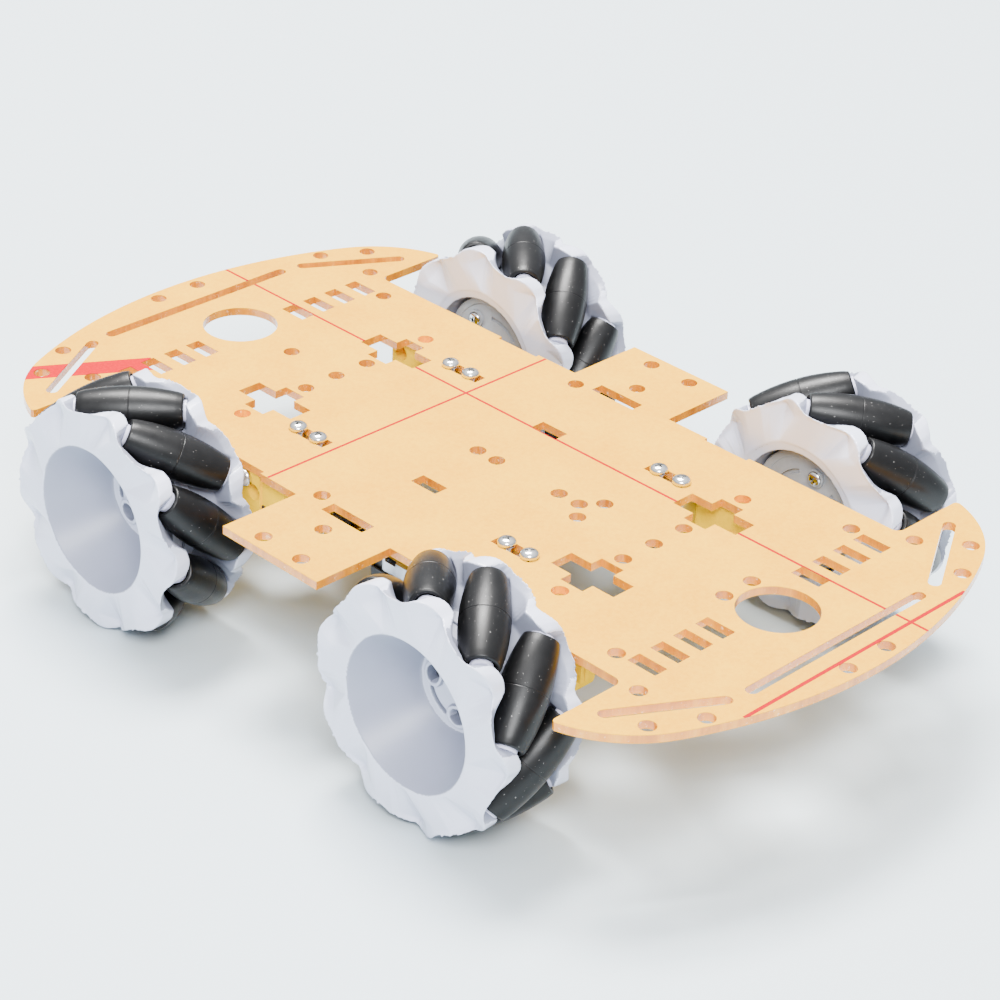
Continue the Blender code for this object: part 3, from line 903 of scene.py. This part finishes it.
def pin_mesh(hand):
    """The nine roller pins, in the frame of the outer half."""
    bm = bmesh.new()
    for k in range(ROLLER_COUNT):
        part = turned([(0.75, -16.4), (0.95, -16.1), (0.95, 16.1), (0.75, 16.4)], 20)
        bmesh.ops.transform(part, matrix=roller_place(hand, k), verts=part.verts)
        merge(bm, part)
    return bm


def roller_mesh():
    """Barrel with rounded ends, deep end recesses and its moulding line."""
    half = ROLLER_HALF
    side = []
    end_radius = barrel_radius(half)
    for a in (0, 30, 60, 90):
        r = math.radians(a)
        side.append((end_radius - 0.55 + 0.55 * math.sin(r), half - 0.5 + 0.5 * math.cos(r)))
    for i in range(1, 16):
        s = (half - 0.6) * (1.0 - i / 16.0)
        side.append((barrel_radius(s), s))
    line = barrel_radius(0.0)
    side += [(line, 0.20), (line - 0.09, 0.07)]
    recess = [(1.15, half - 1.9), (3.3, half - 1.9), (3.55, half - 1.6), (3.55, half - 0.3),
              (3.7, half)]
    profile = recess + side
    profile += [(r, -s) for r, s in reversed(profile)]
    return ring_solid(profile, 56)


def disc_mesh():
    """Coupling disc that closes the inner side, with its boss and eyelets."""
    profile = [
        (2.9, 6.9), (12.0, 6.9), (17.3, 7.7), (17.6, 8.0), (17.6, 10.1), (17.3, 10.4),
        (15.6, 10.4), (15.2, 10.1), (7.4, 10.1), (6.8, 10.4), (6.5, 12.6), (6.1, 13.0),
        (4.6, 13.0), (4.3, 12.7), (4.2, 11.2), (2.9, 11.2),
    ]
    bm = ring_solid(profile, 96)
    holes = bmesh.new()
    rims = bmesh.new()
    for k in range(EYELETS):
        turn = EYELET_TURN * k
        spot = turn_z(DISC_EYELET_ANGLE + turn, DISC_EYELET_R, 0.0)
        eyelet = ring_solid([(2.0, 9.6), (2.7, 9.6), (2.7, 11.0), (2.0, 11.0)], 28)
        moved(eyelet, spot)
        merge(rims, eyelet)
        hole = turned([(1.7, 6.0), (1.7, 12.0)], 28)
        moved(hole, spot)
        merge(holes, hole)
        merge(holes, arc_slot(11.2, 1.3, 52.0 + turn, 108.0 + turn, 9.2, 12.0))
    bm = boolean(bm, rims, "UNION")
    return boolean(bm, holes, "DIFFERENCE")


def shaft_mesh():
    """Double flat output shaft with a chamfered end."""
    outline = []
    for i in range(48):
        a = 2 * math.pi * (i + 0.5) / 48
        r = min(2.7, 1.85 / max(abs(math.sin(a)), 1e-6))
        outline.append((r * math.cos(a), r * math.sin(a)))
    return bevelled(prism(outline, 7.0, 31.1), 0.25, 2, 60.0)


def wheel_matrix(corner, face):
    """Metre matrix from the wheel frame of one half to the world."""
    _, sx, sy, hand, phase = corner
    a = math.radians(phase + hand * face * PHI_END)
    out = Vector((math.cos(a), 0.0, math.sin(a)))
    side = Vector((math.sin(a), 0.0, -math.cos(a))) * face
    centre = Vector((sx * AXLE_X, sy * WHEEL_Y, AXLE_Z)) * MM
    return frame_matrix(out, side, (0.0, float(face), 0.0), centre)


def roller_matrix(corner, index):
    """Metre matrix of a roller: z along its axle, with its own turn about it."""
    _, sx, sy, hand, phase = corner
    a = math.radians(phase + PITCH * index)
    radial = Vector((math.cos(a), 0.0, math.sin(a)))
    tangent = Vector((-math.sin(a), 0.0, math.cos(a)))
    axis = (tangent * hand + Vector((0, 1, 0))) * SIN45
    across = axis.cross(radial)
    spin = Matrix.Rotation(math.radians(47.0 * index + 13.0 * sx + 29.0 * sy), 3, "Z")
    basis = Matrix((radial, across, axis)).transposed() @ spin
    place = basis.to_4x4()
    centre = Vector((sx * AXLE_X, sy * WHEEL_Y, AXLE_Z)) + radial * ROLLER_RC
    place.translation = centre * MM
    return place


def shade_walls(obj):
    """Paint shade on the cup wall and the body between the rollers: they take the darker copy of
    the hub plastic.
    """
    for face in obj.data.polygons:
        radius = math.hypot(face.center.x, face.center.y) / MM
        facing = face.normal.x * face.center.x + face.normal.y * face.center.y
        outward = facing / MM / max(radius, 1.0)
        in_cup = radius < CUP_R and outward < -0.45
        in_body = face.normal.z < -0.1 and radius < BODY_R
        if in_cup or in_body:
            face.material_index = 1


def build_wheels():
    roller = make_object("roller_master", roller_mesh(), RUBBER, 35.0)
    disc = make_object("disc_master", disc_mesh(), DISC, 30.0)
    shaft = make_object("shaft_master", shaft_mesh(), SHAFT, 35.0)
    screw_head = screw("disc_screw_master", 2.3, 1.6, 1.2, 5.0)
    masters = [roller, disc, shaft, screw_head]
    halves = {}
    for hand in (-1, 1):
        for side, mesh in (("outer", hub_outer_mesh(hand)), ("inner", hub_inner_mesh(hand))):
            half = make_object(side + "_master", mesh, (HUB, HUB_PAINTED_SHADE), 180.0)
            # Material 1 of each half is the painted shade
            shade_walls(half)
            halves[hand, side] = half
        halves[hand, "collars"] = make_object("collar_master", collar_mesh(hand), COLLAR, 35.0)
        halves[hand, "pins"] = make_object("pin_master", pin_mesh(hand), NICKEL, 35.0)
    for corner in CORNERS:
        name, _, sy, hand, _ = corner
        body = "wheel_" + name
        outer = wheel_matrix(corner, sy)
        inner = wheel_matrix(corner, -sy)
        for side, place in (("outer", outer), ("inner", inner)):
            hub = copy_of(halves[hand, side], "hub_face_%s_%s" % (side, name))
            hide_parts("hub_%s_%s" % (side, name))
            set_on(hub, body, place)
        for side, place in (("outer", outer), ("inner", inner)):
            collars = copy_of(halves[hand, "collars"], "collars_%s_%s" % (side, name))
            set_on(collars, body, place)
        pins = copy_of(halves[hand, "pins"], "roller_pins_" + name)
        set_on(pins, body, outer)
        set_on(copy_of(disc, "coupling_disc_" + name), body, inner)
        set_on(copy_of(shaft, "output_shaft_" + name), body, inner)
        for k in range(EYELETS):
            spot = turn_z(DISC_EYELET_ANGLE + EYELET_TURN * k, DISC_EYELET_R, 10.6)
            made = copy_of(screw_head, "disc_screw_%d_%s" % (k + 1, name))
            set_on(made, body, inner @ Matrix.Translation(spot * MM))
        for index in range(ROLLER_COUNT):
            label = "%s_%d" % (name, index + 1)
            made = copy_of(roller, "roller_tyre_" + label)
            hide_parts("roller_" + label)
            set_on(made, "roller_" + label, roller_matrix(corner, index))
    masters += list(halves.values())
    for master in masters:
        bpy.data.objects.remove(master, do_unlink=True)


# ----------------------------------------------------------- gearmotors

def gear_outline():
    """Side outline of the gearbox case: outward from the axle, then up."""
    top = 11.1
    points = [(-26.3, -top + 0.8), (-26.3, top - 0.8), (-25.5, top)]
    points += arc(7.3, top - 4.0, 4.0, 90, 0, 10)
    points += arc(7.3, -top + 4.0, 4.0, 0, -90, 10)
    points += [(-25.5, -top)]
    return points


def motor_matrix(corner):
    """Metre matrix: x outward along the deck, y outboard, z up, from the axle at mid gearbox."""
    _, sx, sy, _, _ = corner
    place = Matrix.Diagonal((sx, sy, 1.0, 1.0))
    place.translation = Vector((sx * AXLE_X, sy * GEAR_MID_Y, AXLE_Z)) * MM
    return place


def gear_half(side):
    """One moulded shell of the gearbox case. side is +1 outboard, -1 inboard."""
    body = prism(gear_outline(), SHELL_GAP, CASE_HALF)
    body = bevelled(body, 0.7, 3, 60.0)
    neck = bevelled(box((-35.7, -10.4, SHELL_GAP), (-25.8, 10.4, 8.9)), 0.9, 3)
    body = boolean(body, neck, "UNION")
    tab = bevelled(box((10.2, -2.7, SHELL_GAP), (16.3, 2.7, 1.5)), 0.4, 2)
    body = boolean(body, tab, "UNION")
    tool = bmesh.new()
    for dz in (-SCREW_DZ, SCREW_DZ):
        hole = turned([(1.75, -1.0), (1.75, 12.0)], 28)
        moved(hole, (-SCREW_IN, dz, 0.0))
        merge(tool, hole)
    for x, z in CASE_SCREWS[0] + CASE_SCREWS[1]:
        bore = turned([(2.4, 6.2), (2.4, 12.0)], 28)
        moved(bore, (x, z, 0.0))
        merge(tool, bore)
    merge(tool, turned([(3.05, -1.0), (3.05, 12.0)], 36))
    hook = turned([(1.1, -1.0), (1.1, 4.0)], 24)
    moved(hook, (13.6, 0.0, 0.0))
    merge(tool, hook)
    body = boolean(body, tool, "DIFFERENCE")
    collar = ring_solid([(3.05, 9.0), (4.6, 9.0), (4.6, 9.75), (4.3, 10.0), (3.05, 10.0)], 40)
    body = boolean(body, collar, "UNION")
    socket = turned([(10.25, -41.0), (10.25, -29.4)], 72)
    spun(socket, math.pi / 2, "Y")
    keep = box((-41.0, -12.0, -7.75), (-29.0, 12.0, 7.75))
    body = boolean(body, boolean(socket, keep, "INTERSECT"), "DIFFERENCE")
    turn = Matrix(((1, 0, 0, 0), (0, 0, side, 0), (0, 1, 0, 0), (0, 0, 0, 1)))
    bmesh.ops.transform(body, matrix=turn, verts=body.verts)
    return body


def along_x(bm):
    """Turn a solid drawn along +z so that it runs along -x."""
    turn = Matrix(((0, 0, -1, 0), (0, 1, 0, 0), (1, 0, 0, 0), (0, 0, 0, 1)))
    bmesh.ops.transform(bm, matrix=turn, verts=bm.verts)
    return bm


def can_mesh():
    """Steel can with two flat sides and its vent slots."""
    can = along_x(turned([(9.6, 30.0), (10.0, 30.4), (10.0, 49.2), (9.4, 50.0)], 96))
    can = boolean(can, box((-60, -CAN_FLAT, -12), (-20, CAN_FLAT, 12)), "INTERSECT")
    tool = bmesh.new()
    for z in (-6.4, 6.4):
        merge(tool, box((-49.0, -12.0, z - 0.7), (-45.0, 12.0, z + 0.7)))
    return bevelled(boolean(can, tool, "DIFFERENCE"), 0.25, 2, 40.0)


def cap_mesh():
    """End cap of the can, with its bearing boss."""
    profile = [(9.1, 50.02), (9.1, 52.6), (8.4, 53.3), (3.4, 53.3), (3.2, 53.7), (1.2, 53.7)]
    cap = along_x(turned(profile, 72))
    cap = boolean(cap, box((-60, -CAP_FLAT, -12), (-20, CAP_FLAT, 12)), "INTERSECT")
    return bevelled(cap, 0.2, 2, 50.0)


def strap_mesh():
    """Flat clip that holds the can to the case: over the cap and along both sides."""
    path = [(-27.0, 9.3), (-36.0, 9.3), (-37.2, 8.2), (-53.6, 8.0), (-54.3, 7.2)]
    path += [(x, -y) for x, y in reversed(path)]
    thick = 0.45
    inner = []
    for x, y in path:
        inner.append((x + (thick if x < -50 else 0.0), y - math.copysign(thick, y)))
    return bevelled(prism(path + inner[::-1], -2.4, 2.4), 0.12, 2, 40.0)


def tabs_mesh():
    """The motor's two terminals."""
    bm = bmesh.new()
    for z in (-4.6, 4.6):
        merge(bm, bevelled(box((-56.2, -1.3, z - 0.25), (-52.8, 1.3, z + 0.25)), 0.1, 2))
    return bm


def drill_across(tool, radius, x, z, sides):
    """Add a hole along y to a cutting tool."""
    hole = turned([(radius, -20.0), (radius, 0.0)], sides)
    spun(hole, -math.pi / 2, "X")
    moved(hole, (x, 0.0, z))
    merge(tool, hole)


def block_mesh():
    """Machined bracket block, in the motor frame, with its drilled holes."""
    low = GEAR_MID_Y - 32.1
    high = GEAR_MID_Y - 25.9
    block = box((-SCREW_IN - 7.5, -high, -11.1), (-SCREW_IN + 7.5, -low, 11.35))
    block = bevelled(block, 0.35, 2)
    tool = bmesh.new()
    for dz in (-SCREW_DZ, SCREW_DZ):
        drill_across(tool, 1.35, -SCREW_IN, dz, 28)
    drill_across(tool, 2.2, -SCREW_IN, 0.0, 32)
    return boolean(block, tool, "DIFFERENCE")


def put_screw(master, name, spot, turn):
    place = Matrix.Translation(Vector(spot) * MM) @ turn
    set_on(copy_of(master, name), "chassis", place)


def build_motors():
    shells = {1: make_object("shell_master", gear_half(1), YELLOW, 35.0),
              -1: make_object("shell_master", gear_half(-1), YELLOW, 35.0)}
    can = make_object("can_master", can_mesh(), STEEL, 35.0)
    cap = make_object("cap_master", cap_mesh(), BLACK, 35.0)
    strap = make_object("strap_master", strap_mesh(), BLACK, 35.0)
    tabs = make_object("tabs_master", tabs_mesh(), BRASS, 35.0)
    block = make_object("block_master", block_mesh(), ALLOY, 35.0)
    long_screw = screw("long_screw_master", *M3_HEAD, 24.0)
    deck_screw = screw("deck_screw_master", *M3_HEAD, 8.0)
    self_tapper = screw("self_tapper_master", 1.9, 1.3, 0.9, 6.0)
    for number, corner in enumerate(CORNERS):
        name, sx, sy, _, _ = corner
        base = motor_matrix(corner)
        mirrored = sx * sy < 0
        pieces = (
            ("gearbox_shell_outboard_", shells[1], "gearbox_plastic"),
            ("gearbox_shell_inboard_", shells[-1], "gearbox_plastic"),
            ("motor_can_", can, "motor_steel"),
            ("motor_cap_", cap, "motor_steel"),
            ("motor_strap_", strap, "motor_steel"),
            ("motor_tabs_", tabs, "bracket_alloy"),
            ("bracket_block_", block, "bracket_alloy"),
        )
        for label, master, slot in pieces:
            obj = copy_of(master, label + name)
            obj.data = master.data.copy()
            obj.data.transform(base)
            if mirrored:
                obj.data.flip_normals()
            set_on(obj, "chassis")
        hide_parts("gearbox_" + name)
        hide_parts("motor_" + name)
        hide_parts("bracket_" + name)
        outboard = Matrix.Rotation(math.radians(-90.0 * sy), 4, "X")
        screw_x = sx * (AXLE_X - SCREW_IN)
        for k, sign in enumerate((-1, 1)):
            twist = Matrix.Rotation(0.7 + 1.1 * number + 0.9 * k, 4, "Z")
            spot = (screw_x, sy * (GEAR_OUTER_Y + HEAD_LIFT), AXLE_Z + sign * SCREW_DZ)
            put_screw(long_screw, "gearbox_screw_%d_%s" % (k + 1, name), spot, outboard @ twist)
            for pair, ends in enumerate(CASE_SCREWS):
                x, z = ends[k]
                spot = (sx * (AXLE_X + x), sy * (GEAR_OUTER_Y - CASE_SCREW_SINK), AXLE_Z + z)
                label = "case_screw_%d_%s" % (2 * pair + k + 1, name)
                put_screw(self_tapper, label, spot, outboard @ twist)
            twist = Matrix.Rotation(0.35 + 0.8 * number + 1.3 * k, 4, "Z")
            spot = (screw_x + sign * 4.1, sy * DECK_SCREW_Y, DECK_TOP + HEAD_LIFT)
            put_screw(deck_screw, "deck_screw_%d_%s" % (k + 1, name), spot, twist)
    masters = (shells[1], shells[-1], can, cap, strap, tabs, block, long_screw, deck_screw,
               self_tapper)
    for master in masters:
        bpy.data.objects.remove(master, do_unlink=True)


# ---------------------------------------------------------------- stage

def build_stage():
    """Seamless pale floor."""
    bm = bmesh.new()
    bmesh.ops.create_grid(bm, x_segments=8, y_segments=8, size=6000.0)
    floor = make_object("floor", bm, new_material("backdrop", flat(0.53, 0.61, 0.65), 0.8), 180.0)
    mat = floor.data.materials[0]
    cloud = object_noise(mat, 1.2, 2.0, 0.4)
    tone = ramp(mat, cloud, [(0.3, flat(0.525, 0.605, 0.645)), (0.7, flat(0.54, 0.615, 0.655))])
    link(mat, tone, shader_of(mat).inputs["Base Color"])


def area_light(name, place, target, size, power, colour):
    """Rectangular lamp that faces its target. Size in metres, power in watts."""
    data = bpy.data.lights.new(name, "AREA")
    data.shape = "RECTANGLE"
    data.size = size[0]
    data.size_y = size[1]
    data.energy = power
    data.color = colour
    lamp = bpy.data.objects.new(name, data)
    lamp.location = place
    aim = Vector(target) - Vector(place)
    lamp.rotation_euler = aim.to_track_quat("-Z", "Y").to_euler()
    bpy.context.scene.collection.objects.link(lamp)


def build_light():
    """Pale surroundings that brighten upward, with a warm key and a cool fill."""
    world = bpy.data.worlds.new("studio")
    world.use_nodes = True
    back = world.node_tree.nodes["Background"]
    coords = world.node_tree.nodes.new("ShaderNodeTexCoord")
    split = world.node_tree.nodes.new("ShaderNodeSeparateXYZ")
    sky = world.node_tree.nodes.new("ShaderNodeValToRGB")
    world.node_tree.links.new(coords.outputs["Generated"], split.inputs["Vector"])
    world.node_tree.links.new(split.outputs["Z"], sky.inputs["Fac"])
    world.node_tree.links.new(sky.outputs["Color"], back.inputs["Color"])
    stops = sky.color_ramp.elements
    stops[0].position = 0.05
    stops[0].color = (0.24, 0.26, 0.285, 1.0)
    stops[1].position = 0.9
    stops[1].color = (0.97, 0.99, 1.03, 1.0)
    back.inputs["Strength"].default_value = 2.0
    bpy.context.scene.world = world
    centre = (0.0, 0.0, 0.03)
    area_light("key_softbox", (-0.62, 0.35, 1.95), centre, (0.9, 0.7), 190.0, (1.0, 0.985, 0.965))
    area_light("fill_softbox", (0.85, -0.85, 1.2), centre, (0.7, 0.5), 55.0, (0.97, 0.985, 1.0))


def build_camera():
    data = bpy.data.cameras.new("camera")
    data.sensor_width = 36.0
    data.lens = 103.17
    data.clip_start = 0.01
    data.clip_end = 50.0
    data.dof.use_dof = False
    camera = bpy.data.objects.new("camera", data)
    look = Matrix((
        (0.703297, -0.380722, 0.600353),
        (0.709795, 0.329077, -0.622816),
        (0.039557, 0.864153, 0.501673),
    ))
    camera.matrix_world = Matrix.Translation((0.47411, -0.48626, 0.42838)) @ look.to_4x4()
    bpy.context.scene.collection.objects.link(camera)
    bpy.context.scene.camera = camera


build_camera()
build_light()
build_stage()
build_deck()
build_wheels()
build_motors()
